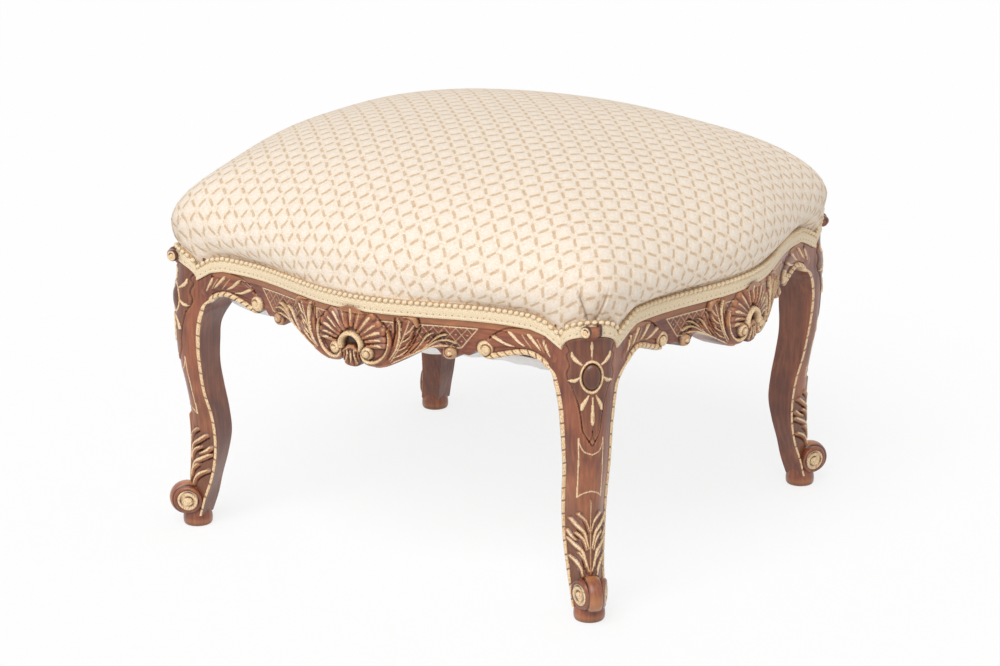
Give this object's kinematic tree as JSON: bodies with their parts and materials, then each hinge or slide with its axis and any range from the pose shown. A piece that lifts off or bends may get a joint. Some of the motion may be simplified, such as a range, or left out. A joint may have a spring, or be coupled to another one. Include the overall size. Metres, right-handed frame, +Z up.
{
  "type": "upholstered footstool",
  "caption": "Carved and part-gilded footstool with a serpentine frame, cabriole legs on scroll toes, and a sprung, domed damask seat edged with braid.",
  "frame": {"origin": "on the floor, under the middle of the seat", "axes": "+X towards the stool's right seen from the front, +Y towards the back, +Z up"},
  "size_m": [0.6224, 0.594, 0.454],
  "materials": {
    "carved_walnut": "carved, red-brown polish, satin",
    "gilding": "pale gold paint on carving, satin",
    "beech": "planed, unfinished",
    "steel": "drawn wire and plain screws",
    "webbing": "woven jute",
    "twine": "laid hemp",
    "hessian": "coarse plain weave",
    "hair": "curled hair",
    "wadding": "soft cotton",
    "damask": "cream weave with a tan trellis",
    "braid": "beaded double gimp",
    "lining": "thin plain cotton"
  },
  "bodies": {
    "root": {"back_right_leg": "carved_walnut", "back_right_corner_block": "beech", "back_right_block_screw_1": "steel", "back_right_block_screw_2": "steel", "back_left_leg": "carved_walnut", "back_left_corner_block": "beech", "back_left_block_screw_1": "steel", "back_left_block_screw_2": "steel", "front_left_leg": "carved_walnut", "front_left_corner_block": "beech", "front_left_block_screw_1": "steel", "front_left_block_screw_2": "steel", "front_right_leg": "carved_walnut", "front_right_corner_block": "beech", "front_right_block_screw_1": "steel", "front_right_block_screw_2": "steel", "back_rail": "carved_walnut", "back_batten": "beech", "left_rail": "carved_walnut", "left_batten": "beech", "front_rail": "carved_walnut", "front_batten": "beech", "right_rail": "carved_walnut", "right_batten": "beech", "webbing_front_to_back_1": "webbing", "webbing_side_to_side_1": "webbing", "twine_front_to_back_1": "twine", "twine_side_to_side_1": "twine", "spring_1_1": "steel", "spring_1_2": "steel", "spring_1_3": "steel", "webbing_front_to_back_2": "webbing", "webbing_side_to_side_2": "webbing", "twine_front_to_back_2": "twine", "twine_side_to_side_2": "twine", "spring_2_1": "steel", "spring_2_2": "steel", "spring_2_3": "steel", "webbing_front_to_back_3": "webbing", "webbing_side_to_side_3": "webbing", "twine_front_to_back_3": "twine", "twine_side_to_side_3": "twine", "spring_3_1": "steel", "spring_3_2": "steel", "spring_3_3": "steel", "spring_canvas": "hessian", "hair_stuffing": "hair", "wadding": "wadding", "top_cover": "damask", "braid": "braid", "bottom_cloth": "lining"}
  },
  "joints": []
}
